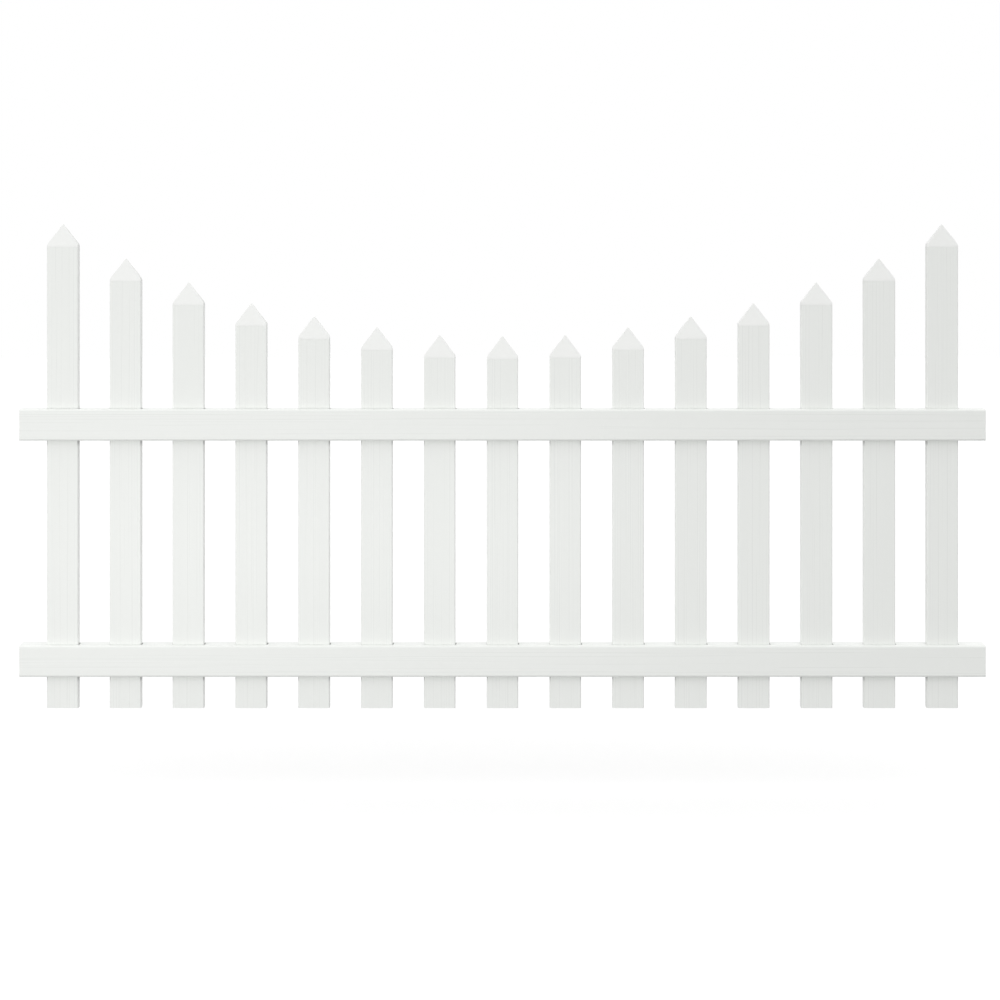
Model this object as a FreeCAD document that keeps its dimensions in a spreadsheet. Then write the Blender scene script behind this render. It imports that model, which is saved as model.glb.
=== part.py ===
# Scalloped picket fence panel of hollow white PVC, modelled in millimetres.
#
# Fifteen hollow pickets pass through slots punched in two hollow rails, and a
# moulded pyramid cap plugs into the top of each picket. The pickets get longer
# from the middle towards the ends, so that their caps follow a hanging curve.
#
# The frame: +X runs along the fence, the front looks towards -Y and +Z is up.
# The origin is the middle of the lower rail's left end face.

import FreeCAD, Part
import Sketcher
import math
import os

# Cut lengths of the picket tubes, from the middle picket out to the end ones
PICKET_LENGTHS = (845.7, 848.7, 867.7, 894.2, 926.2, 976.7, 1034.7, 1117.7)
PICKET_COUNT = 2 * len(PICKET_LENGTHS) - 1

SIZES = {
    # Picket profile, a hollow 3 by 7/8 inch extrusion
    "picket_width": 76.2,
    "picket_depth": 22.2,
    "picket_wall": 1.5,
    "picket_corner": 3.0,
    "picket_inner_corner": 1.5,
    # Rail profile, a hollow 3 by 2 inch extrusion
    "rail_height": 76.2,
    "rail_depth": 50.8,
    "rail_wall": 2.3,
    "rail_corner": 5.0,
    "rail_inner_corner": 2.7,
    # Layout: picket centre lines, rail centre lines, and the feet of the
    # pickets below the underside of the lower rail
    "picket_pitch": 152.4,
    "end_margin": 101.6,
    "rail_spacing": 571.5,
    "foot_drop": 78.0,
    # Gap on every side between a picket and the slot punched for it
    "slot_clearance": 0.3,
    # Crown of the cap: a straight band, rounded shoulders and a blunt tip
    "cap_height": 55.6,
    "cap_band": 1.0,
    "cap_shoulder_radius": 17.0,
    "cap_tip_radius": 1.6,
    # Hollow of the cap: a straight bore up to its eaves, then a roof that
    # narrows to a small flat top
    "hollow_eaves": 3.0,
    "hollow_top_share": 0.1,
    "hollow_top_cover": 11.5,
    # Plug of the cap, a short tube that fits inside the picket
    "plug_length": 16.0,
    "plug_wall": 1.5,
    "plug_clearance": 0.15,
    "plug_lead_in": 0.6,
}

# Levels nearer than this are the same
TOUCH = 0.001

# Expressions that several features share
RAIL_LENGTH = f"2 * Sizes.end_margin + {PICKET_COUNT - 1} * Sizes.picket_pitch"
FOOT_LEVEL = "-Sizes.rail_height / 2 - Sizes.foot_drop"
PLUG_INSET = "(Sizes.picket_wall + Sizes.plug_clearance)"
BORE_HALF_WIDTH = f"(Sizes.picket_width / 2 - {PLUG_INSET} - Sizes.plug_wall)"
BORE_HALF_DEPTH = f"(Sizes.picket_depth / 2 - {PLUG_INSET} - Sizes.plug_wall)"

doc = FreeCAD.newDocument("PicketFencePanel")


# Driving dimensions

def make_sheet():
    """Put every driving dimension in the spreadsheet, each under its own alias."""
    sheet = doc.addObject("Spreadsheet::Sheet", "Sizes")
    sizes = dict(SIZES)
    for step, length in enumerate(PICKET_LENGTHS):
        sizes[f"picket_length_{step}"] = length
    for row, (alias, value) in enumerate(sizes.items(), start=1):
        sheet.set(f"A{row}", str(value))
        sheet.setAlias(f"A{row}", alias)
    doc.recompute()
    return sheet


sheet = make_sheet()


def size(expression):
    """The value that an expression has now, to draw a sketch at its real size."""
    return float(sheet.evalExpression(expression))


# Sketches

def new_sketch(body, name, role):
    """Add a sketch on the plane of the body's own origin that has this role."""
    plane = next(item for item in body.Origin.OriginFeatures if item.Role == role)
    sketch = body.newObject("Sketcher::SketchObject", name)
    sketch.AttachmentSupport = [(plane, "")]
    sketch.MapMode = "FlatFace"
    return sketch


def bind(sketch, name, expression, *constraint):
    """Add a dimension to the sketch, name it and bind it to an expression."""
    index = sketch.addConstraint(Sketcher.Constraint(*constraint, size(expression)))
    sketch.renameConstraint(index, name)
    sketch.setExpression(f"Constraints.{name}", expression)


def rectangle(sketch, name, width, height, corner):
    """Draw a rectangle with rounded corners about the origin of the sketch."""
    radius = size(corner)
    reach_x = size(width) / 2 - radius
    reach_y = size(height) / 2 - radius
    normal = FreeCAD.Vector(0, 0, 1)
    arcs = []
    for quarter, (side_x, side_y) in enumerate([(1, -1), (1, 1), (-1, 1), (-1, -1)]):
        centre = FreeCAD.Vector(side_x * reach_x, side_y * reach_y, 0)
        start = (quarter - 1) * math.pi / 2
        arc = Part.ArcOfCircle(Part.Circle(centre, normal, radius), start, start + math.pi / 2)
        arcs.append(sketch.addGeometry(arc, False))
    sides = []
    for quarter, arc in enumerate(arcs):
        before = arcs[quarter - 1]
        line = Part.LineSegment(sketch.getPoint(before, 2), sketch.getPoint(arc, 1))
        side = sketch.addGeometry(line, False)
        sides.append(side)
        sketch.addConstraint(Sketcher.Constraint("Tangent", before, 2, side, 1))
        sketch.addConstraint(Sketcher.Constraint("Tangent", side, 2, arc, 1))
        direction = "Vertical" if quarter % 2 else "Horizontal"
        sketch.addConstraint(Sketcher.Constraint(direction, side))
    for arc in arcs[1:]:
        sketch.addConstraint(Sketcher.Constraint("Equal", arcs[0], arc))
    sketch.addConstraint(Sketcher.Constraint("Symmetric", arcs[0], 3, arcs[2], 3, -1, 1))
    bottom, right, top, left = sides
    bind(sketch, f"{name}_corner", corner, "Radius", arcs[0])
    bind(sketch, f"{name}_width", width, "DistanceX", left, 1, right, 1)
    bind(sketch, f"{name}_height", height, "DistanceY", bottom, 1, top, 1)


def plain_rectangle(sketch, name, half_width, half_height):
    """Draw a rectangle with sharp corners about the origin of the sketch."""
    reach_x, reach_y = size(half_width), size(half_height)
    corners = [
        FreeCAD.Vector(side_x * reach_x, side_y * reach_y, 0)
        for side_x, side_y in [(-1, -1), (1, -1), (1, 1), (-1, 1)]
    ]
    sides = [
        sketch.addGeometry(Part.LineSegment(start, end), False)
        for start, end in zip(corners, corners[1:] + corners[:1])
    ]
    for turn, side in enumerate(sides):
        following = sides[(turn + 1) % 4]
        sketch.addConstraint(Sketcher.Constraint("Coincident", side, 2, following, 1))
        direction = "Vertical" if turn % 2 else "Horizontal"
        sketch.addConstraint(Sketcher.Constraint(direction, side))
    bottom, right, top, left = sides
    sketch.addConstraint(Sketcher.Constraint("Symmetric", bottom, 1, top, 1, -1, 1))
    bind(sketch, f"{name}_half_width", half_width, "DistanceX", -1, 1, bottom, 2)
    bind(sketch, f"{name}_half_height", half_height, "DistanceY", -1, 1, top, 1)


def roof_outline(sketch, width):
    """Draw the side view of a cap: band, rounded shoulders, straight slopes and blunt tip."""
    band = size("Sizes.cap_band")
    shoulder = size("Sizes.cap_shoulder_radius")
    tip = size("Sizes.cap_tip_radius")
    half = size(width) / 2
    across = half - shoulder
    up = size("Sizes.cap_height") - tip - band
    # Direction in which the slope faces, from the line that touches both circles
    facing = math.acos((tip - shoulder) / math.hypot(across, up)) - math.atan2(up, across)
    normal = FreeCAD.Vector(0, 0, 1)

    def arc(x, y, radius, start, end):
        circle = Part.Circle(FreeCAD.Vector(x, y, 0), normal, radius)
        return sketch.addGeometry(Part.ArcOfCircle(circle, start, end), False)

    def line(start, end):
        return sketch.addGeometry(Part.LineSegment(start, end), False)

    right_shoulder = arc(across, band, shoulder, 0, facing)
    top = arc(0, band + up, tip, facing, math.pi - facing)
    left_shoulder = arc(-across, band, shoulder, math.pi - facing, math.pi)
    base = line(FreeCAD.Vector(-half, 0, 0), FreeCAD.Vector(half, 0, 0))
    right_band = line(FreeCAD.Vector(half, 0, 0), FreeCAD.Vector(half, band, 0))
    right_slope = line(sketch.getPoint(right_shoulder, 2), sketch.getPoint(top, 1))
    left_slope = line(sketch.getPoint(top, 2), sketch.getPoint(left_shoulder, 1))
    left_band = line(FreeCAD.Vector(-half, band, 0), FreeCAD.Vector(-half, 0, 0))

    outline = [right_band, right_shoulder, right_slope, top, left_slope, left_shoulder, left_band]
    for before, after in zip(outline, outline[1:]):
        sketch.addConstraint(Sketcher.Constraint("Tangent", before, 2, after, 1))
    sketch.addConstraint(Sketcher.Constraint("Coincident", base, 2, right_band, 1))
    sketch.addConstraint(Sketcher.Constraint("Coincident", left_band, 2, base, 1))
    sketch.addConstraint(Sketcher.Constraint("Symmetric", base, 1, base, 2, -1, 1))
    sketch.addConstraint(Sketcher.Constraint("Horizontal", base))
    sketch.addConstraint(Sketcher.Constraint("Vertical", right_band))
    sketch.addConstraint(Sketcher.Constraint("Vertical", left_band))
    sketch.addConstraint(Sketcher.Constraint("Equal", right_shoulder, left_shoulder))
    sketch.addConstraint(Sketcher.Constraint("Equal", right_band, left_band))
    sketch.addConstraint(Sketcher.Constraint("PointOnObject", top, 3, -2))
    bind(sketch, "width", width, "DistanceX", base, 1, base, 2)
    bind(sketch, "band", "Sizes.cap_band", "DistanceY", right_band, 1, right_band, 2)
    bind(sketch, "shoulder", "Sizes.cap_shoulder_radius", "Radius", right_shoulder)
    bind(sketch, "tip", "Sizes.cap_tip_radius", "Radius", top)
    tip_centre = "Sizes.cap_height - Sizes.cap_tip_radius"
    bind(sketch, "tip_centre", tip_centre, "DistanceY", -1, 1, top, 3)


# Features

def pad(body, name, sketch, length, reverse=False, symmetric=False):
    """Extrude a sketch by a length that is bound to an expression."""
    feature = body.newObject("PartDesign::Pad", name)
    feature.Profile = sketch
    feature.Reversed = reverse
    feature.Midplane = symmetric
    feature.setExpression("Length", length)
    return feature


def chamfer(body, name, base, parts, width):
    """Cut off the named edges, or all edges of the named faces, at 45 degrees."""
    feature = body.newObject("PartDesign::Chamfer", name)
    feature.Base = (base, parts)
    feature.setExpression("Size", width)
    doc.recompute()
    return feature


def cut_through(body, name, sketch):
    """Cut the sketch's area through the whole body, to both sides of its plane."""
    feature = body.newObject("PartDesign::Pocket", name)
    feature.Profile = sketch
    feature.Type = "ThroughAll"
    feature.Midplane = True
    return feature


def place(body, **expressions):
    """Bind coordinates of the body's place to expressions."""
    for axis, expression in expressions.items():
        body.setExpression(f"Placement.Base.{axis}", expression)


# Rails

def make_rail(name, level):
    """A hollow extruded rail, with a square-cornered slot punched through its top and
    bottom for each picket."""
    body = doc.addObject("PartDesign::Body", name)
    section = new_sketch(body, f"{name}_section", "YZ_Plane")
    rectangle(section, "outer", "Sizes.rail_depth", "Sizes.rail_height", "Sizes.rail_corner")
    rectangle(
        section,
        "inner",
        "Sizes.rail_depth - 2 * Sizes.rail_wall",
        "Sizes.rail_height - 2 * Sizes.rail_wall",
        "Sizes.rail_inner_corner",
    )
    pad(body, f"{name}_extrusion", section, RAIL_LENGTH)

    outline = new_sketch(body, f"{name}_slot_outline", "XY_Plane")
    outline.setExpression("AttachmentOffset.Base.x", "Sizes.end_margin")
    plain_rectangle(
        outline,
        "slot",
        "Sizes.picket_width / 2 + Sizes.slot_clearance",
        "Sizes.picket_depth / 2 + Sizes.slot_clearance",
    )
    slot = cut_through(body, f"{name}_slot", outline)

    slots = body.newObject("PartDesign::LinearPattern", f"{name}_slots")
    slots.Originals = [slot]
    slots.Direction = (outline, ["H_Axis"])
    slots.Occurrences = PICKET_COUNT
    slots.setExpression("Length", f"{PICKET_COUNT - 1} * Sizes.picket_pitch")
    body.Tip = slots
    place(body, z=level)
    return body


# Pickets

def make_picket(name, position, length):
    """A hollow extruded picket, open at its foot and closed above by its cap."""
    body = doc.addObject("PartDesign::Body", name)
    section = new_sketch(body, f"{name}_section", "XY_Plane")
    rectangle(section, "outer", "Sizes.picket_width", "Sizes.picket_depth", "Sizes.picket_corner")
    rectangle(
        section,
        "inner",
        "Sizes.picket_width - 2 * Sizes.picket_wall",
        "Sizes.picket_depth - 2 * Sizes.picket_wall",
        "Sizes.picket_inner_corner",
    )
    pad(body, f"{name}_extrusion", section, length)
    place(body, x=position, z=FOOT_LEVEL)
    return body


# Caps

def trim_sketch(body, name, role):
    """A sketch that starts with a frame well outside the cap, so that what lies
    between the frame and the outline drawn next is cut away."""
    sketch = new_sketch(body, name, role)
    across = "Sizes.picket_width + 2 * Sizes.cap_height"
    rectangle(sketch, "frame", across, across, "Sizes.picket_corner")
    return sketch


def narrowing_hollow(body, name):
    """Cut a roof-shaped hollow above the bore. The block's own Y runs up the cap,
    from the bore's full size at its eaves to a small share of it at its top."""
    hollow = body.newObject("PartDesign::SubtractiveWedge", name)
    plane = next(item for item in body.Origin.OriginFeatures if item.Role == "XZ_Plane")
    hollow.AttachmentSupport = [(plane, "")]
    hollow.MapMode = "FlatFace"
    reaches = {
        "X": (BORE_HALF_WIDTH, "1"),
        "Z": (BORE_HALF_DEPTH, "1"),
        "X2": (BORE_HALF_WIDTH, "Sizes.hollow_top_share"),
        "Z2": (BORE_HALF_DEPTH, "Sizes.hollow_top_share"),
    }
    for side, (reach, share) in reaches.items():
        hollow.setExpression(f"{side}min", f"-{share} * {reach}")
        hollow.setExpression(f"{side}max", f"{share} * {reach}")
    hollow.setExpression("Ymin", "Sizes.hollow_eaves")
    hollow.setExpression("Ymax", "Sizes.cap_height - Sizes.hollow_top_cover")
    return hollow


def upright_edges_below(feature, level):
    """Names of the feature's upright edges that end at a level or below it."""
    names = []
    for number, edge in enumerate(feature.Shape.Edges, start=1):
        heights = [vertex.Z for vertex in edge.Vertexes]
        if max(heights) < level + TOUCH and max(heights) - min(heights) > TOUCH:
            names.append(f"Edge{number}")
    return names


def lowest_face(feature):
    """Name of the feature's face that lies lowest."""
    faces = feature.Shape.Faces
    index = min(range(len(faces)), key=lambda number: faces[number].CenterOfMass.z)
    return f"Face{index + 1}"


def make_cap(name, position, level):
    """A moulded pyramid cap, hollow, with a plug that fits inside the picket's end."""
    body = doc.addObject("PartDesign::Body", name)
    front = new_sketch(body, f"{name}_front", "XZ_Plane")
    roof_outline(front, "Sizes.picket_width")
    pad(body, f"{name}_crown", front, "Sizes.picket_depth", symmetric=True)

    side = trim_sketch(body, f"{name}_side", "YZ_Plane")
    roof_outline(side, "Sizes.picket_depth")
    cut_through(body, f"{name}_side_trim", side)

    corners = trim_sketch(body, f"{name}_corners", "XY_Plane")
    rectangle(corners, "foot", "Sizes.picket_width", "Sizes.picket_depth", "Sizes.picket_corner")
    cut_through(body, f"{name}_corner_trim", corners)

    plug_outline = new_sketch(body, f"{name}_plug_outline", "XY_Plane")
    plain_rectangle(
        plug_outline,
        "plug",
        f"Sizes.picket_width / 2 - {PLUG_INSET}",
        f"Sizes.picket_depth / 2 - {PLUG_INSET}",
    )
    plug = pad(body, f"{name}_plug", plug_outline, "Sizes.plug_length", reverse=True)
    doc.recompute()
    plug_corners = chamfer(
        body, f"{name}_plug_corners", plug, upright_edges_below(plug, 0), "Sizes.picket_inner_corner"
    )
    chamfer(
        body, f"{name}_lead_in", plug_corners, [lowest_face(plug_corners)], "Sizes.plug_lead_in"
    )

    mouth = new_sketch(body, f"{name}_mouth", "XY_Plane")
    mouth.setExpression("AttachmentOffset.Base.z", "-Sizes.plug_length")
    plain_rectangle(mouth, "bore", BORE_HALF_WIDTH, BORE_HALF_DEPTH)
    bore = body.newObject("PartDesign::Pocket", f"{name}_bore")
    bore.Profile = mouth
    bore.Reversed = True
    bore.setExpression("Length", "Sizes.plug_length + Sizes.hollow_eaves")
    narrowing_hollow(body, f"{name}_hollow")
    place(body, x=position, z=level)
    return body


# Assembly

def make_panel():
    """Make the two rails, then each picket with its cap, from left to right."""
    bodies = [make_rail("lower_rail", "0"), make_rail("upper_rail", "Sizes.rail_spacing")]
    middle = PICKET_COUNT // 2
    for index in range(PICKET_COUNT):
        number = f"{index + 1:02d}"
        position = f"Sizes.end_margin + {index} * Sizes.picket_pitch"
        length = f"Sizes.picket_length_{abs(index - middle)}"
        bodies.append(make_picket(f"picket_{number}", position, length))
        bodies.append(make_cap(f"cap_{number}", position, f"{FOOT_LEVEL} + {length}"))
    return bodies


def check(bodies):
    """Stop if a feature failed, a cut removed nothing or a body is not one valid solid."""
    for item in doc.Objects:
        if "Invalid" in item.State or "Error" in item.State:
            raise RuntimeError(f"{item.Name} did not build: {item.State}")
    for body in bodies:
        features = [item for item in body.Group if item.isDerivedFrom("PartDesign::Feature")]
        for before, after in zip(features, features[1:]):
            added = after.isDerivedFrom("PartDesign::Pad")
            change = after.Shape.Volume - before.Shape.Volume
            if change == 0 or (change > 0) != added:
                raise RuntimeError(f"{after.Name} changed the volume by {change:.3f}")
        shape = body.Shape
        if shape.isNull() or not shape.isValid() or len(shape.Solids) != 1:
            raise RuntimeError(f"{body.Name} is not one valid solid")


def write(bodies):
    """Write each body to a STEP file that has its label as its name."""
    os.makedirs("parts", exist_ok=True)
    for body in bodies:
        body.Label = body.Name
        body.Shape.exportStep(f"parts/{body.Label}.step")
        box = body.Shape.BoundBox
        print(
            f"{body.Label}: {body.Shape.Volume:.0f} mm3,"
            f" x {box.XMin:.1f} to {box.XMax:.1f},"
            f" y {box.YMin:.1f} to {box.YMax:.1f},"
            f" z {box.ZMin:.1f} to {box.ZMax:.1f}"
        )
    total = sum(body.Shape.Volume for body in bodies)
    print(f"{len(bodies)} pieces, {total:.0f} mm3 in all")


panel = make_panel()
doc.recompute()
check(panel)
write(panel)
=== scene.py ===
import math

import bpy
import numpy as np
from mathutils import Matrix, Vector


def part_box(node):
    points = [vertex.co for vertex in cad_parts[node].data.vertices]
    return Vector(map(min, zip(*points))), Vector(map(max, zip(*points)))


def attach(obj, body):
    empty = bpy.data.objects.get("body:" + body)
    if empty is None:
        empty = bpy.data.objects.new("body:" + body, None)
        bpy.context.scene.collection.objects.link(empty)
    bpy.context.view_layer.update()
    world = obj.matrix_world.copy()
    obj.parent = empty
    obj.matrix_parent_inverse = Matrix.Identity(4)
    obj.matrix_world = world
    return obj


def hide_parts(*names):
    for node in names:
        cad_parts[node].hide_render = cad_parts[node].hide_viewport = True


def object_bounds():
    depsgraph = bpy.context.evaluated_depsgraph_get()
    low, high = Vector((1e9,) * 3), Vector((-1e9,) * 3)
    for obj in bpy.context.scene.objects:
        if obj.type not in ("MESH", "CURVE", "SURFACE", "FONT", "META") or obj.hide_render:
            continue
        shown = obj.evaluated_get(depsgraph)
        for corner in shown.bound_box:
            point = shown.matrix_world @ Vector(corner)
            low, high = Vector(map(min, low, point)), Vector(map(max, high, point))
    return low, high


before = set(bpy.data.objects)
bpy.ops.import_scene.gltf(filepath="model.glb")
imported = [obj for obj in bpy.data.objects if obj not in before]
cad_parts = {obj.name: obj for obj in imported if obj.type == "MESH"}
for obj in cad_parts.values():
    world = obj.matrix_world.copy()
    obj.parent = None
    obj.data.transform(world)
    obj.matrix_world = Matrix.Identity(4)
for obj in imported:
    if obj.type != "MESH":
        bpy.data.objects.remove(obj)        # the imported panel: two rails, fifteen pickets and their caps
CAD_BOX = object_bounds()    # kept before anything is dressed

bl_info = {
    "name": "Picket Fence Panel Finish",
    "version": (1, 0, 0),
    "blender": (4, 5, 0),
    "location": "View3D > Sidebar > Fence Panel",
    "description": "Gives a scalloped PVC picket fence panel its moulded caps, surfaces and studio",
    "category": "Object",
}

MM = 0.001
PICKETS = sorted(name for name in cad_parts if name.startswith("picket_"))
CAPS = sorted(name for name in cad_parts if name.startswith("cap_"))
RAILS = ("lower_rail", "upper_rail")
CENTRE = [(low + high) / 2 for low, high in zip(*CAD_BOX)]
FEET = CAD_BOX[0][2]

# The first picket's lowest and highest corners, and the step to the next picket
PICKET_LOW, PICKET_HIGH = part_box(PICKETS[0])
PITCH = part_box(PICKETS[1])[0][0] - PICKET_LOW[0]

# The photograph's frame, in pixels: its width, the row of the picket feet, the
# row of the eye's level, the column straight ahead of the camera, and the
# scale in pixels a metre at the front of the pickets. The sensor is as wide as
# the picture.
PHOTO_WIDTH = 1000
FEET_ROW = 708.2
EYE_ROW = 250.0
AXIS_COLUMN = 502.5
PIXELS_PER_METRE = 412.5
SENSOR_MM = 36.0

# Where the two soft lamps stand, and how wide and high they are, in metres
LEFT_LAMP = {"place": (-2.0, -3.0, 0.15), "size": (1.4, 0.85)}
MIDDLE_LAMP = {"place": (0.6, -2.6, -0.1), "size": (2.0, 0.6)}
# How far the floor reaches from the origin to each side, in metres
FLOOR_REACH = 20.0

# How much longer than wide the die lines and streaks of the extrusions are
DRAWN = 300

# How finely the caps are drawn: levels on the tip's and the shoulder's arc, on the
# slope and on the edge of the foot, and points on each corner of a level
ARC_LEVELS = 14
SLOPE_LEVELS = 14
EDGE_LEVELS = 7
CORNER_POINTS = 7
# How far up the shoulder its own levels go, as a share of its radius, the most that
# a corner radius takes of half a level's breadth, and the least angle of a sharp edge
SHOULDER_SHARE = 0.8
ROUNDEST = 0.98
SHARP_ANGLE = math.radians(50)


def linear(code):
    """The linear colour of an sRGB hex code such as EDEFEC: a straight toe, then the
    power 2.4 of the raised and scaled code."""
    coded = np.array([int(code[i:i + 2], 16) / 255 for i in (0, 2, 4)])
    toe = coded / 12.92
    curve = ((coded + 0.055) / 1.055) ** 2.4
    return tuple(np.where(coded <= 0.04045, toe, curve))


# Settings

class VinylSettings(bpy.types.PropertyGroup):
    """Colour and surface of the white PVC, and the shade painted on it."""

    extruded_light: bpy.props.FloatVectorProperty(
        name="Extruded, light", description="Lighter tone of the extruded rails and pickets",
        subtype="COLOR", size=3, min=0, max=1, default=linear("EFF1EE"))
    extruded_dark: bpy.props.FloatVectorProperty(
        name="Extruded, dark", description="Darker tone of the extruded rails and pickets",
        subtype="COLOR", size=3, min=0, max=1, default=linear("EEF0ED"))
    moulded_light: bpy.props.FloatVectorProperty(
        name="Moulded, light", description="Lighter tone of the moulded caps",
        subtype="COLOR", size=3, min=0, max=1, default=linear("F3F4F2"))
    moulded_dark: bpy.props.FloatVectorProperty(
        name="Moulded, dark", description="Darker tone of the moulded caps",
        subtype="COLOR", size=3, min=0, max=1, default=linear("F0F1EF"))
    ior: bpy.props.FloatProperty(
        name="IOR", description="Refractive index of rigid PVC", default=1.53, min=1, max=2)
    extruded_roughness: bpy.props.FloatProperty(
        name="Extruded roughness", description="Mean roughness of the satin extruded faces",
        subtype="FACTOR", default=0.28, min=0, max=1)
    extruded_spread: bpy.props.FloatProperty(
        name="Extruded spread", description="How far the lines move that roughness up and down",
        subtype="FACTOR", default=0.03, min=0, max=1)
    moulded_roughness: bpy.props.FloatProperty(
        name="Moulded roughness", description="Mean roughness of the fine-textured caps",
        subtype="FACTOR", default=0.38, min=0, max=1)
    moulded_spread: bpy.props.FloatProperty(
        name="Moulded spread", description="How far the grain moves that roughness up and down",
        subtype="FACTOR", default=0.04, min=0, max=1)
    # Painted shade: a dark strip on the rails at the right of each picket, where the shade in its slot's
    # gap is painted
    slot_shade_width: bpy.props.FloatProperty(
        name="Slot gap", description="Dark gap beside each picket, which sits at the left of its slot",
        unit="LENGTH", default=2.0 * MM, min=0)
    slot_shade_colour: bpy.props.FloatVectorProperty(
        name="Slot colour", description="Colour of the shaded gap",
        subtype="COLOR", size=3, min=0, max=1, default=linear("6A6C69"))
    # Painted shade on the sides of the pickets straight below each rail, where little light gets in
    under_rail_reach: bpy.props.FloatProperty(
        name="Shade under the rails", description="How far a picket's sides are shaded below a rail",
        unit="LENGTH", default=17 * MM, min=0)
    under_rail_shade_colour: bpy.props.FloatVectorProperty(
        name="Shade under the rails, colour", description="Colour of the sides straight below a rail",
        subtype="COLOR", size=3, min=0, max=1, default=linear("9EA09D"))
    # Real die lines and mould grain are a few tenths of a millimetre wide. Both are
    # drawn coarser, the lines to show in a picture of the whole panel and the grain
    # to show in a closer one.
    die_line: bpy.props.FloatProperty(
        name="Die line spacing", description="Distance between the faint lines that the die leaves",
        unit="LENGTH", default=3.0 * MM, min=0.1 * MM)
    die_line_height: bpy.props.FloatProperty(
        name="Die line height", description="Height of the die lines",
        unit="LENGTH", default=0.0035 * MM, min=0)
    streak: bpy.props.FloatProperty(
        name="Streak width", description="Width of the chalky streaks of tone",
        unit="LENGTH", default=25 * MM, min=1 * MM)
    wave: bpy.props.FloatProperty(
        name="Wave length", description="Length of the shallow waves of a cooled extrusion",
        unit="LENGTH", default=160 * MM, min=1 * MM)
    wave_height: bpy.props.FloatProperty(
        name="Wave height", description="Height of those waves",
        unit="LENGTH", default=0.35 * MM, min=0)
    grain: bpy.props.FloatProperty(
        name="Mould grain", description="Grain size of the texture on the moulded caps",
        unit="LENGTH", default=1.2 * MM, min=0.1 * MM)
    grain_height: bpy.props.FloatProperty(
        name="Grain height", description="Height of that grain",
        unit="LENGTH", default=0.04 * MM, min=0)
    flow: bpy.props.FloatProperty(
        name="Flow width", description="Width of the patches of tone where the melt flowed",
        unit="LENGTH", default=30 * MM, min=1 * MM)


class CapSettings(bpy.types.PropertyGroup):
    """Form of the moulded pyramid caps."""

    band: bpy.props.FloatProperty(
        name="Band", description="Straight height of the crown above its foot",
        unit="LENGTH", default=1.0 * MM, min=0)
    shoulder: bpy.props.FloatProperty(
        name="Shoulder radius", description="Radius between the band and the slopes",
        unit="LENGTH", default=17.0 * MM, min=0)
    tip: bpy.props.FloatProperty(
        name="Tip radius", description="Radius of the blunt tip",
        unit="LENGTH", default=1.6 * MM, min=0)
    corner: bpy.props.FloatProperty(
        name="Corner radius", description="Corner radius at the foot, the same as the picket's",
        unit="LENGTH", default=3.0 * MM, min=0)
    hip: bpy.props.FloatProperty(
        name="Hip radius", description="Radius of the four hips that run to the tip",
        unit="LENGTH", default=1.1 * MM, min=0)
    edge: bpy.props.FloatProperty(
        name="Foot edge radius", description="Radius of the edge that meets the picket's end",
        unit="LENGTH", default=0.4 * MM, min=0)
    wall: bpy.props.FloatProperty(
        name="Picket wall", description="Wall of the picket beside the plug, with its clearance",
        unit="LENGTH", default=1.65 * MM, min=0)
    plug_wall: bpy.props.FloatProperty(
        name="Plug wall", description="Wall thickness of the plug",
        unit="LENGTH", default=1.5 * MM, min=0)
    lead_in: bpy.props.FloatProperty(
        name="Lead-in", description="Chamfer at the end of the plug",
        unit="LENGTH", default=0.6 * MM, min=0)
    plug_corner: bpy.props.FloatProperty(
        name="Plug corner", description="Corner radius outside the plug",
        unit="LENGTH", default=1.5 * MM, min=0)
    bore_corner: bpy.props.FloatProperty(
        name="Bore corner", description="Corner radius inside the plug",
        unit="LENGTH", default=0.75 * MM, min=0)
    eaves: bpy.props.FloatProperty(
        name="Eaves", description="Height above the foot at which the hollow starts to narrow",
        unit="LENGTH", default=3.0 * MM, min=0)
    cover: bpy.props.FloatProperty(
        name="Cover", description="Distance from the hollow's top up to the tip",
        unit="LENGTH", default=11.5 * MM, min=0)
    top_share: bpy.props.FloatProperty(
        name="Top share", description="Size of the hollow's top as a share of the bore",
        subtype="FACTOR", default=0.1, min=0, max=1)


class StageSettings(bpy.types.PropertyGroup):
    """Floor, lamps and camera."""

    floor_gap: bpy.props.FloatProperty(
        name="Gap to the floor", description="Height at which the panel hangs over the floor",
        unit="LENGTH", default=200 * MM, min=0)
    distance: bpy.props.FloatProperty(
        name="Camera distance", description="Distance from the camera to the pickets' front",
        unit="LENGTH", default=5.0, min=0.1)
    floor_tone: bpy.props.FloatProperty(
        name="Floor tone", description="Share of the light that the floor throws back",
        subtype="FACTOR", default=0.43, min=0, max=1)
    ceiling: bpy.props.FloatProperty(
        name="Ceiling", description="Light of the room from above", default=1.31, min=0)
    front: bpy.props.FloatProperty(
        name="Front wall", description="Light of the room from straight ahead of the panel",
        default=0.88, min=0)
    left_power: bpy.props.FloatProperty(
        name="Left lamp", description="Low soft lamp at the front left",
        unit="POWER", default=20.0, min=0)
    middle_power: bpy.props.FloatProperty(
        name="Middle lamp", description="Wide low lamp before the middle of the panel",
        unit="POWER", default=7.5, min=0)


# Surfaces

def add(tree, kind, inputs, **settings):
    """Add a node, set its properties, and link or set each of its inputs."""
    node = tree.nodes.new(kind)
    for name, value in settings.items():
        setattr(node, name, value)
    for name, value in inputs.items():
        if isinstance(value, bpy.types.NodeSocket):
            tree.links.new(value, node.inputs[name])
        else:
            node.inputs[name].default_value = value
    return node


def start_material(name):
    """A new material with an empty node tree."""
    material = bpy.data.materials.new(name)
    material.use_nodes = True
    material.node_tree.nodes.clear()
    return material, material.node_tree


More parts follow.
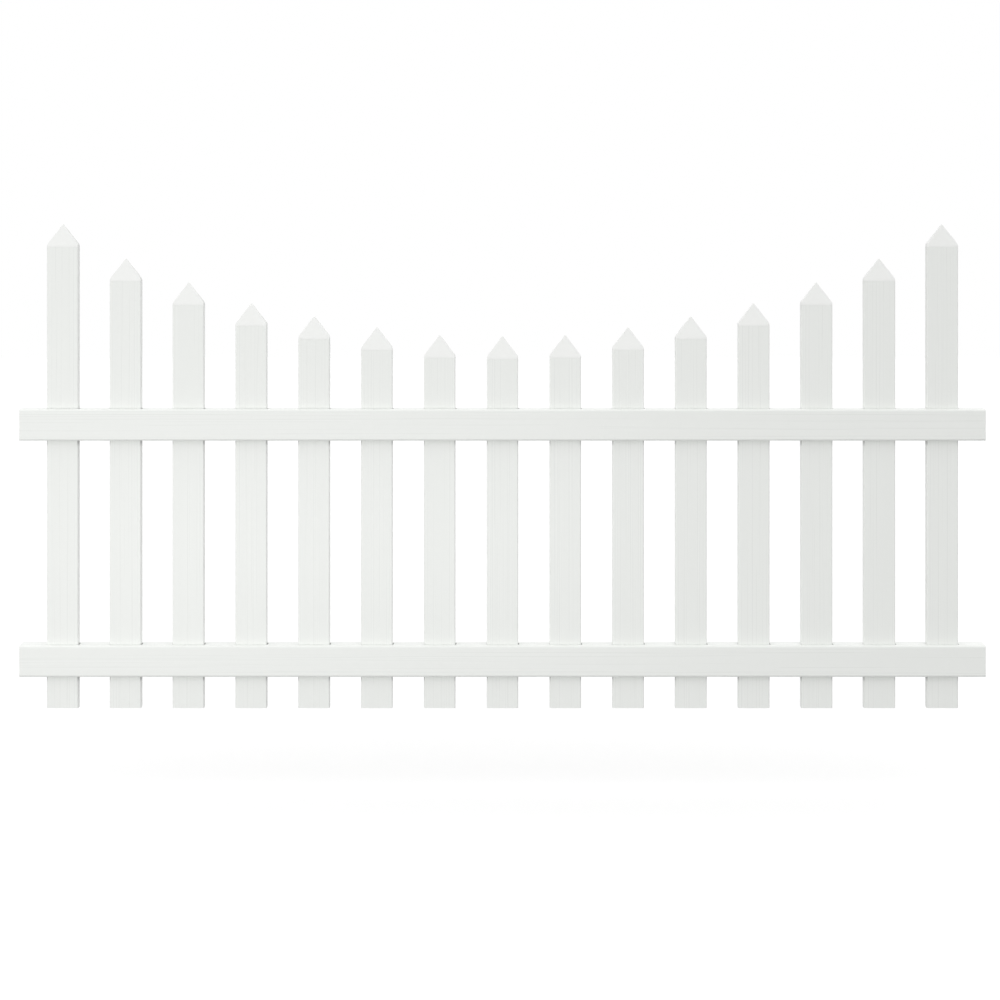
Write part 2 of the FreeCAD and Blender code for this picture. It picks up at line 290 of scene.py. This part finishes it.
def finish_material(tree, colour, roughness, normal, ior):
    """Close a PVC material: opaque pigmented plastic, with the sheen that its
    roughness and refractive index give."""
    plastic = add(tree, "ShaderNodeBsdfPrincipled", {
        "Base Color": colour, "Roughness": roughness, "Normal": normal, "IOR": ior})
    add(tree, "ShaderNodeOutputMaterial", {"Surface": plastic.outputs["BSDF"]})


def slot_shade(tree, place):
    """1 where shade is painted, in the gap at the right of every picket's slot, and 0 elsewhere, with soft
    edges. The pickets stand at an even pitch, so the distance from a picket's right side repeats along X.
    Front to back the painted shade is as deep as a picket."""
    # width of the strip of painted shade in each slot's gap
    gap = bpy.context.scene.fence_vinyl.slot_shade_width
    side, back = PICKET_HIGH[0], PICKET_HIGH[1]
    soft_edge = 0.5 * MM
    at = add(tree, "ShaderNodeSeparateXYZ", {"Vector": place})
    from_side = add(tree, "ShaderNodeMath", {0: at.outputs["X"], 1: side}, operation="SUBTRACT")
    past_side = add(tree, "ShaderNodeMath", {
        0: from_side.outputs[0], 1: PITCH}, operation="FLOORED_MODULO")
    beside = add(tree, "ShaderNodeMapRange", {
        "Value": past_side.outputs[0], "From Min": gap, "From Max": 1.5 * gap,
        "To Min": 1.0, "To Max": 0.0})
    off_middle = add(tree, "ShaderNodeMath", {0: at.outputs["Y"]}, operation="ABSOLUTE")
    within = add(tree, "ShaderNodeMapRange", {
        "Value": off_middle.outputs[0], "From Min": back, "From Max": back + soft_edge,
        "To Min": 1.0, "To Max": 0.0})
    shade = add(tree, "ShaderNodeMath", {
        0: beside.outputs["Result"], 1: within.outputs["Result"]}, operation="MULTIPLY")
    return shade.outputs[0]


def under_rail_shade(tree, place):
    """1 where shade is painted on the sides of the pickets straight below a rail, where little light gets
    in, fading to 0 downwards and over the rounded corners. The distance from a picket's middle repeats at
    the pitch along X, and the distance below a rail's underside at the rails' spacing along Z."""
    reach = bpy.context.scene.fence_vinyl.under_rail_reach
    full_down_to = 0.2 * reach
    corner = bpy.context.scene.fence_cap.corner
    half = (PICKET_HIGH[0] - PICKET_LOW[0]) / 2
    lower, upper = (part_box(name)[0][2] for name in RAILS)
    at = add(tree, "ShaderNodeSeparateXYZ", {"Vector": place})
    along = add(tree, "ShaderNodeMath", {
        0: at.outputs["X"], 1: PICKET_LOW[0] + half - PITCH / 2}, operation="SUBTRACT")
    phase = add(tree, "ShaderNodeMath", {0: along.outputs[0], 1: PITCH}, operation="FLOORED_MODULO")
    signed = add(tree, "ShaderNodeMath", {0: phase.outputs[0], 1: PITCH / 2}, operation="SUBTRACT")
    from_middle = add(tree, "ShaderNodeMath", {0: signed.outputs[0]}, operation="ABSOLUTE")
    beside = add(tree, "ShaderNodeMapRange", {
        "Value": from_middle.outputs[0], "From Min": half - corner, "From Max": half})
    drop = add(tree, "ShaderNodeMath", {0: upper, 1: at.outputs["Z"]}, operation="SUBTRACT")
    below = add(tree, "ShaderNodeMath", {
        0: drop.outputs[0], 1: upper - lower}, operation="FLOORED_MODULO")
    near = add(tree, "ShaderNodeMapRange", {
        "Value": below.outputs[0], "From Min": full_down_to, "From Max": reach,
        "To Min": 1.0, "To Max": 0.0}, interpolation_type="SMOOTHSTEP")
    shade = add(tree, "ShaderNodeMath", {
        0: beside.outputs["Result"], 1: near.outputs["Result"]}, operation="MULTIPLY")
    return shade.outputs[0]


def extruded_pvc(name, stretch, shade, shade_colour):
    """Extruded PVC: satin white, with faint die lines along the extrusion, shallow waves from uneven
    cooling and a chalky unevenness of tone, and a painted shade mixed in. `stretch` is how much longer the
    pattern is along X, Y and Z than across the extrusion, and `shade` gives the share of the painted
    shade's colour at each place."""
    look = bpy.context.scene.fence_vinyl
    material, tree = start_material(name)
    place = add(tree, "ShaderNodeTexCoord", {}).outputs["Object"]
    drawn = add(tree, "ShaderNodeMapping", {
        "Vector": place, "Scale": [1 / part for part in stretch]}).outputs["Vector"]
    lines = add(tree, "ShaderNodeTexNoise", {
        "Vector": drawn, "Scale": 1 / look.die_line, "Detail": 2.0, "Roughness": 0.6})
    waves = add(tree, "ShaderNodeTexNoise", {
        "Vector": place, "Scale": 1 / look.wave, "Detail": 1.0, "Roughness": 0.4})
    chalk = add(tree, "ShaderNodeTexNoise", {
        "Vector": drawn, "Scale": 1 / look.streak, "Detail": 4.0, "Roughness": 0.65})
    tone = add(tree, "ShaderNodeMix", {
        "Factor": chalk.outputs["Fac"],
        "A": (*look.extruded_dark, 1), "B": (*look.extruded_light, 1)}, data_type="RGBA")
    # the painted shade is mixed into the tone here
    shaded = add(tree, "ShaderNodeMix", {
        "Factor": shade(tree, place),
        "A": tone.outputs["Result"], "B": (*shade_colour, 1)}, data_type="RGBA")
    rough = add(tree, "ShaderNodeMapRange", {
        "Value": lines.outputs["Fac"],
        "To Min": look.extruded_roughness - look.extruded_spread,
        "To Max": look.extruded_roughness + look.extruded_spread})
    wavy = add(tree, "ShaderNodeBump", {
        "Height": waves.outputs["Fac"], "Strength": 1.0, "Distance": look.wave_height})
    lined = add(tree, "ShaderNodeBump", {
        "Height": lines.outputs["Fac"], "Strength": 1.0, "Distance": look.die_line_height,
        "Normal": wavy.outputs["Normal"]})
    finish_material(tree, shaded.outputs["Result"], rough.outputs["Result"],
                    lined.outputs["Normal"], look.ior)
    return material


def moulded_pvc(name):
    """Moulded PVC: a little brighter and more matt than the extrusions, with the
    fine grain of the mould."""
    look = bpy.context.scene.fence_vinyl
    material, tree = start_material(name)
    place = add(tree, "ShaderNodeTexCoord", {}).outputs["Object"]
    grain = add(tree, "ShaderNodeTexNoise", {
        "Vector": place, "Scale": 1 / look.grain, "Detail": 3.0, "Roughness": 0.55})
    flow = add(tree, "ShaderNodeTexNoise", {
        "Vector": place, "Scale": 1 / look.flow, "Detail": 2.0, "Roughness": 0.5})
    tone = add(tree, "ShaderNodeMix", {
        "Factor": flow.outputs["Fac"],
        "A": (*look.moulded_dark, 1), "B": (*look.moulded_light, 1)}, data_type="RGBA")
    rough = add(tree, "ShaderNodeMapRange", {
        "Value": grain.outputs["Fac"],
        "To Min": look.moulded_roughness - look.moulded_spread,
        "To Max": look.moulded_roughness + look.moulded_spread})
    grained = add(tree, "ShaderNodeBump", {
        "Height": grain.outputs["Fac"], "Strength": 1.0, "Distance": look.grain_height})
    finish_material(tree, tone.outputs["Result"], rough.outputs["Result"],
                    grained.outputs["Normal"], look.ior)
    return material


def coat(obj, material):
    """Give the object this material alone."""
    obj.data.materials.clear()
    obj.data.materials.append(material)


# Caps

def half_breadth(level, half, height, cap):
    """Half the width of the crown at each level above its foot. The outline is a
    straight band, a shoulder arc, the straight line that touches the shoulder and
    tip circles, and the arc of the tip."""
    across = half - cap.shoulder
    up = height - cap.tip - cap.band
    facing = math.acos((cap.tip - cap.shoulder) / math.hypot(across, up)) - math.atan2(up, across)
    slope_start = cap.band + cap.shoulder * math.sin(facing)
    slope_end = height - cap.tip + cap.tip * math.sin(facing)
    shoulder = across + np.sqrt(np.maximum(cap.shoulder ** 2 - (level - cap.band) ** 2, 0))
    run = (level - slope_start) / (slope_end - slope_start)
    slope = across + cap.shoulder * math.cos(facing) + run * (
        cap.tip * math.cos(facing) - across - cap.shoulder * math.cos(facing))
    tip = np.sqrt(np.maximum(cap.tip ** 2 - (level - height + cap.tip) ** 2, 0))
    return np.select(
        [level <= cap.band, level <= slope_start, level <= slope_end], [half, shoulder, slope], tip)


def crown_sections(half_x, half_y, height, cap):
    """Levels, half breadths and corner radii of the crown from its tip to its foot.
    The levels stand closer where the outline curves. At the foot's rounded edge the
    outline turns inwards by a quarter circle, which stops just short of lying flat.
    The corner radius shrinks from the picket's at the band to that of the hips over
    the shoulder."""
    bend = np.linspace(0, math.pi / 2, ARC_LEVELS)
    under = 2 * bend[:EDGE_LEVELS]
    shoulder_top = cap.band + cap.shoulder * SHOULDER_SHARE
    upper = np.concatenate([
        height - cap.tip * (1 - np.cos(bend)),
        np.linspace(height - cap.tip, shoulder_top, SLOPE_LEVELS)[1:-1],
        cap.band + cap.shoulder * SHOULDER_SHARE * np.cos(bend),
    ])
    level = np.concatenate([upper, cap.edge * (1 - np.sin(under))])
    inset = np.concatenate([np.zeros(len(upper)), cap.edge * (1 - np.cos(under))])
    wide = half_breadth(level, half_x, height, cap) - inset
    deep = half_breadth(level, half_y, height, cap) - inset
    fade = np.clip(1 - (level - cap.band) / (shoulder_top - cap.band), 0, 1) ** 2
    corner = cap.hip + (cap.corner - cap.hip) * fade
    return level, wide, deep, np.minimum(corner, ROUNDEST * np.minimum(wide, deep))


def plug_sections(half_x, half_y, height, length, cap):
    """Levels, half breadths and corner radii from under the crown's foot, down the
    outside of the plug, over its lead-in and end, and up the bore to the eaves of
    the hollow and its small flat top."""
    outer = cap.wall
    inner = cap.wall + cap.plug_wall
    level = np.array([0, cap.lead_in - length, -length, -length, cap.eaves, height - cap.cover])
    inset = np.array([outer, outer, outer + cap.lead_in, inner, inner, inner])
    share = np.array([1, 1, 1, 1, 1, cap.top_share])
    corner = np.array([cap.plug_corner] * 3 + [cap.bore_corner] * 3)
    return level, (half_x - inset) * share, (half_y - inset) * share, corner * share


def rounded_rectangles(level, wide, deep, corner):
    """Points of stacked rounded rectangles: at every level each corner is an arc
    about a centre one corner radius inside both faces."""
    turn = np.linspace(0, math.pi / 2, CORNER_POINTS)
    angle = np.concatenate([turn + quarter * math.pi / 2 for quarter in range(4)])
    side_x = np.repeat([1, -1, -1, 1], CORNER_POINTS)
    side_y = np.repeat([1, 1, -1, -1], CORNER_POINTS)
    x = (wide - corner)[:, None] * side_x + corner[:, None] * np.cos(angle)
    y = (deep - corner)[:, None] * side_y + corner[:, None] * np.sin(angle)
    z = np.broadcast_to(level[:, None], x.shape)
    return np.stack([x, y, z], axis=-1)


def closed_shell(name, points, first_pole, last_pole):
    """A closed mesh from rings of points, one under the other, with a pole at each end."""
    rings, around, _ = points.shape
    vertices = np.concatenate([points.reshape(-1, 3), [first_pole, last_pole]])
    index = np.arange(rings * around).reshape(rings, around)
    onward = np.roll(index, -1, axis=1)
    quads = np.stack([index[:-1], index[1:], onward[1:], onward[:-1]], axis=-1).reshape(-1, 4)
    first = np.full(around, rings * around)
    start = np.stack([first, index[0], onward[0]], axis=-1)
    end = np.stack([first + 1, onward[-1], index[-1]], axis=-1)
    mesh = bpy.data.meshes.new(name)
    mesh.from_pydata(vertices.tolist(), [], quads.tolist() + start.tolist() + end.tolist())
    mesh.validate()
    mesh.polygons.foreach_set("use_smooth", np.ones(len(mesh.polygons), dtype=bool))
    mesh.set_sharp_from_angle(angle=SHARP_ANGLE)
    obj = bpy.data.objects.new(name, mesh)
    bpy.context.collection.objects.link(obj)
    normals = obj.modifiers.new("Even normals", "WEIGHTED_NORMAL")
    normals.keep_sharp = True
    return obj


def make_cap(node, picket, cap):
    """The moulded cap that stands on one picket, at the place and size of its node.
    The crown's first level is the tip, where the shell's first pole stands instead."""
    low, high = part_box(node)
    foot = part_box(picket)[1][2]
    half_x = (high[0] - low[0]) / 2
    half_y = (high[1] - low[1]) / 2
    height = high[2] - foot
    crown = crown_sections(half_x, half_y, height, cap)
    plug = plug_sections(half_x, half_y, height, foot - low[2], cap)
    sections = [np.concatenate([above[1:], below]) for above, below in zip(crown, plug)]
    middle = np.array([(low[0] + high[0]) / 2, (low[1] + high[1]) / 2, foot])
    points = rounded_rectangles(*sections) + middle
    tip = middle + [0, 0, height]
    hollow_top = middle + [0, 0, plug[0][-1]]
    return closed_shell(f"moulded_{node}", points, tip, hollow_top)


# Stage

def lamp(name, place, size, power, aim):
    """A soft rectangular lamp at a place, turned towards a point."""
    light = bpy.data.lights.new(name, "AREA")
    light.shape = "RECTANGLE"
    light.size, light.size_y = size
    light.energy = power
    obj = bpy.data.objects.new(name, light)
    obj.location = place
    obj.rotation_euler = (Vector(aim) - Vector(place)).to_track_quat("-Z", "Y").to_euler()
    bpy.context.collection.objects.link(obj)


def camera_sees(tree):
    """1 for the rays that show the background: those from the camera, and those that
    the object reflects as gloss or lets through."""
    path = add(tree, "ShaderNodeLightPath", {})
    direct = add(tree, "ShaderNodeMath", {
        0: path.outputs["Is Camera Ray"], 1: path.outputs["Is Glossy Ray"]}, operation="MAXIMUM")
    either = add(tree, "ShaderNodeMath", {
        0: direct.outputs[0], 1: path.outputs["Is Transmission Ray"]}, operation="MAXIMUM")
    return either.outputs[0]


def white_room(ceiling, front):
    """A world that shows plain white and lights the object as a pale room does: evenly
    from the ceiling and, nearer the horizon, only from the wall that the panel faces."""
    # The Z of a direction at which the ceiling's light sets in and is full, and the
    # Y at which the wall's light does
    horizon, overhead = 0.1, 0.75
    sideways, facing = 0.2, -1.0
    world = bpy.data.worlds.new("White room")
    world.use_nodes = True
    tree = world.node_tree
    tree.nodes.clear()
    view = add(tree, "ShaderNodeTexCoord", {}).outputs["Generated"]
    towards = add(tree, "ShaderNodeSeparateXYZ", {"Vector": view})
    climb = add(tree, "ShaderNodeMapRange", {
        "Value": towards.outputs["Z"], "From Min": horizon, "From Max": overhead},
        interpolation_type="SMOOTHSTEP")
    ahead = add(tree, "ShaderNodeMapRange", {
        "Value": towards.outputs["Y"], "From Min": sideways, "From Max": facing, "To Max": front},
        interpolation_type="SMOOTHSTEP")
    level = add(tree, "ShaderNodeMix", {
        "Factor": climb.outputs["Result"], "A": ahead.outputs["Result"], "B": ceiling})
    soft = add(tree, "ShaderNodeBackground", {
        "Color": (1, 1, 1, 1), "Strength": level.outputs["Result"]})
    white = add(tree, "ShaderNodeBackground", {"Color": (1, 1, 1, 1), "Strength": 1.0})
    seen = add(tree, "ShaderNodeMixShader", {
        0: camera_sees(tree), 1: soft.outputs[0], 2: white.outputs[0]})
    add(tree, "ShaderNodeOutputWorld", {"Surface": seen.outputs[0]})
    bpy.context.scene.world = world


def white_floor(level, tone):
    """A plain pale floor. The camera sees it half lit and half glowing, which adds up
    to white and keeps a trace of the object's shadow."""
    mesh = bpy.data.meshes.new("floor")
    corners = [(FLOOR_REACH * x, FLOOR_REACH * y, level)
               for x, y in ((-1, -1), (1, -1), (1, 1), (-1, 1))]
    mesh.from_pydata(corners, [], [(0, 1, 2, 3)])
    floor = bpy.data.objects.new("floor", mesh)
    bpy.context.collection.objects.link(floor)
    material, tree = start_material("Pale matt floor")
    paint = add(tree, "ShaderNodeBsdfDiffuse", {"Color": (tone, tone, tone, 1)})
    half = add(tree, "ShaderNodeBsdfDiffuse", {"Color": (0.5, 0.5, 0.5, 1)})
    lift = add(tree, "ShaderNodeEmission", {"Color": (1, 1, 1, 1), "Strength": 0.5})
    lifted = add(tree, "ShaderNodeAddShader", {0: half.outputs[0], 1: lift.outputs[0]})
    seen = add(tree, "ShaderNodeMixShader", {
        0: camera_sees(tree), 1: paint.outputs[0], 2: lifted.outputs[0]})
    add(tree, "ShaderNodeOutputMaterial", {"Surface": seen.outputs[0]})
    coat(floor, material)


def photo_camera(distance):
    """A level camera that frames the panel as the photograph does: the scale, the
    eye's level and the axis come from the measured rows and columns."""
    data = bpy.data.cameras.new("Camera")
    data.sensor_width = SENSOR_MM
    data.lens = PIXELS_PER_METRE * distance * SENSOR_MM / PHOTO_WIDTH
    data.shift_y = (EYE_ROW - PHOTO_WIDTH / 2) / PHOTO_WIDTH
    data.clip_end = 100
    camera = bpy.data.objects.new("Camera", data)
    side = (AXIS_COLUMN - PHOTO_WIDTH / 2) / PIXELS_PER_METRE
    rise = (FEET_ROW - EYE_ROW) / PIXELS_PER_METRE
    camera.location = (CENTRE[0] - side, PICKET_LOW[1] - distance, FEET + rise)
    camera.rotation_euler = (math.pi / 2, 0, 0)
    bpy.context.collection.objects.link(camera)
    bpy.context.scene.camera = camera


# Operators

class FENCE_OT_dress_rails(bpy.types.Operator):
    """Give both rails their extruded PVC, drawn along X, with shade painted in the gap beside each picket
    """
    bl_idname = "fence.dress_rails"
    bl_label = "Dress Rails"

    def execute(self, context):
        look = context.scene.fence_vinyl
        material = extruded_pvc("Extruded PVC rail", (DRAWN, 1, 1), slot_shade, look.slot_shade_colour)
        for node in RAILS:
            coat(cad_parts[node], material)
        return {"FINISHED"}


class FENCE_OT_dress_pickets(bpy.types.Operator):
    """Give every picket its extruded PVC, drawn along Z, with shade painted on its sides below the rails
    """
    bl_idname = "fence.dress_pickets"
    bl_label = "Dress Pickets"

    def execute(self, context):
        look = context.scene.fence_vinyl
        material = extruded_pvc(
            "Extruded PVC picket", (1, 1, DRAWN), under_rail_shade, look.under_rail_shade_colour)
        for node in PICKETS:
            coat(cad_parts[node], material)
        return {"FINISHED"}


class FENCE_OT_make_caps(bpy.types.Operator):
    """Make the moulded cap of every picket and stand it in its node's place"""
    bl_idname = "fence.make_caps"
    bl_label = "Make Caps"

    def execute(self, context):
        material = moulded_pvc("Moulded PVC cap")
        for node, picket in zip(CAPS, PICKETS):
            coat(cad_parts[node], material)
            cap = make_cap(node, picket, context.scene.fence_cap)
            coat(cap, material)
            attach(cap, "root")
            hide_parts(node)
        return {"FINISHED"}


class FENCE_OT_set_stage(bpy.types.Operator):
    """Set the pale floor, the white room, the lamps and the camera"""
    bl_idname = "fence.set_stage"
    bl_label = "Set Stage"

    def execute(self, context):
        stage = context.scene.fence_stage
        white_room(stage.ceiling, stage.front)
        white_floor(FEET - stage.floor_gap, stage.floor_tone)
        lamp("Left lamp", power=stage.left_power, aim=CENTRE, **LEFT_LAMP)
        lamp("Middle lamp", power=stage.middle_power, aim=CENTRE, **MIDDLE_LAMP)
        photo_camera(stage.distance)
        context.scene.view_settings.view_transform = "Standard"
        return {"FINISHED"}


class FENCE_PT_panel(bpy.types.Panel):
    """Lists the steps that finish the fence panel"""
    bl_idname = "FENCE_PT_panel"
    bl_label = "Fence Panel"
    bl_space_type = "VIEW_3D"
    bl_region_type = "UI"
    bl_category = "Fence Panel"

    def draw(self, context):
        for operator in OPERATORS:
            self.layout.operator(operator.bl_idname)


OPERATORS = (FENCE_OT_dress_rails, FENCE_OT_dress_pickets, FENCE_OT_make_caps, FENCE_OT_set_stage)
SETTINGS = {"fence_vinyl": VinylSettings, "fence_cap": CapSettings, "fence_stage": StageSettings}


def register():
    for group in SETTINGS.values():
        bpy.utils.register_class(group)
    for name, group in SETTINGS.items():
        setattr(bpy.types.Scene, name, bpy.props.PointerProperty(type=group))
    for item in (*OPERATORS, FENCE_PT_panel):
        bpy.utils.register_class(item)


def unregister():
    for item in (FENCE_PT_panel, *reversed(OPERATORS)):
        bpy.utils.unregister_class(item)
    for name, group in SETTINGS.items():
        delattr(bpy.types.Scene, name)
        bpy.utils.unregister_class(group)


def main():
    """Run every step in order."""
    register()
    bpy.ops.fence.dress_rails()
    bpy.ops.fence.dress_pickets()
    bpy.ops.fence.make_caps()
    bpy.ops.fence.set_stage()


if __name__ == "__main__":
    main()
